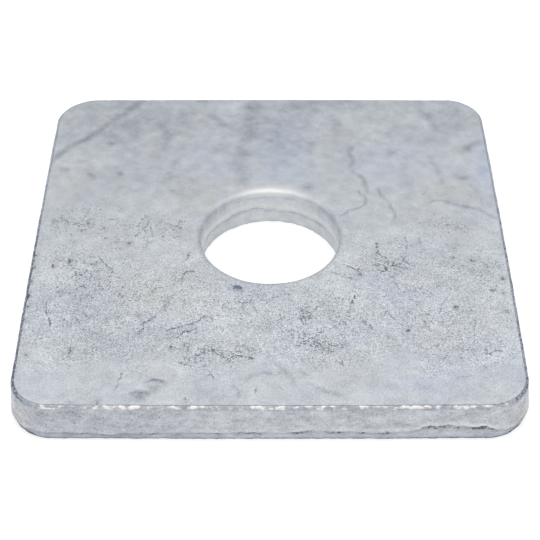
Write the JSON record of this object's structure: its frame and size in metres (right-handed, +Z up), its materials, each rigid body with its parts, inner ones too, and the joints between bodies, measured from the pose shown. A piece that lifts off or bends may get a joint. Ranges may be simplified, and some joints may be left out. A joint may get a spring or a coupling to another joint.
{
  "type": "square plate washer",
  "caption": "Thick square steel washer with rounded corners and a punched central bolt hole, hot-dip galvanised; spreads a bolt's load over timber or plate.",
  "frame": {"origin": "hole's axis at the underside, which is the face that the washer lies on", "axes": "+Z up along the hole's axis, towards the face with the rolled rim; X and Y along the sides of the square"},
  "size_m": [0.076, 0.076, 0.0065],
  "materials": {
    "zinc": "hot-dip galvanised, matt frosted zinc over steel"
  },
  "bodies": {
    "root": {"washer": "zinc"}
  },
  "joints": []
}
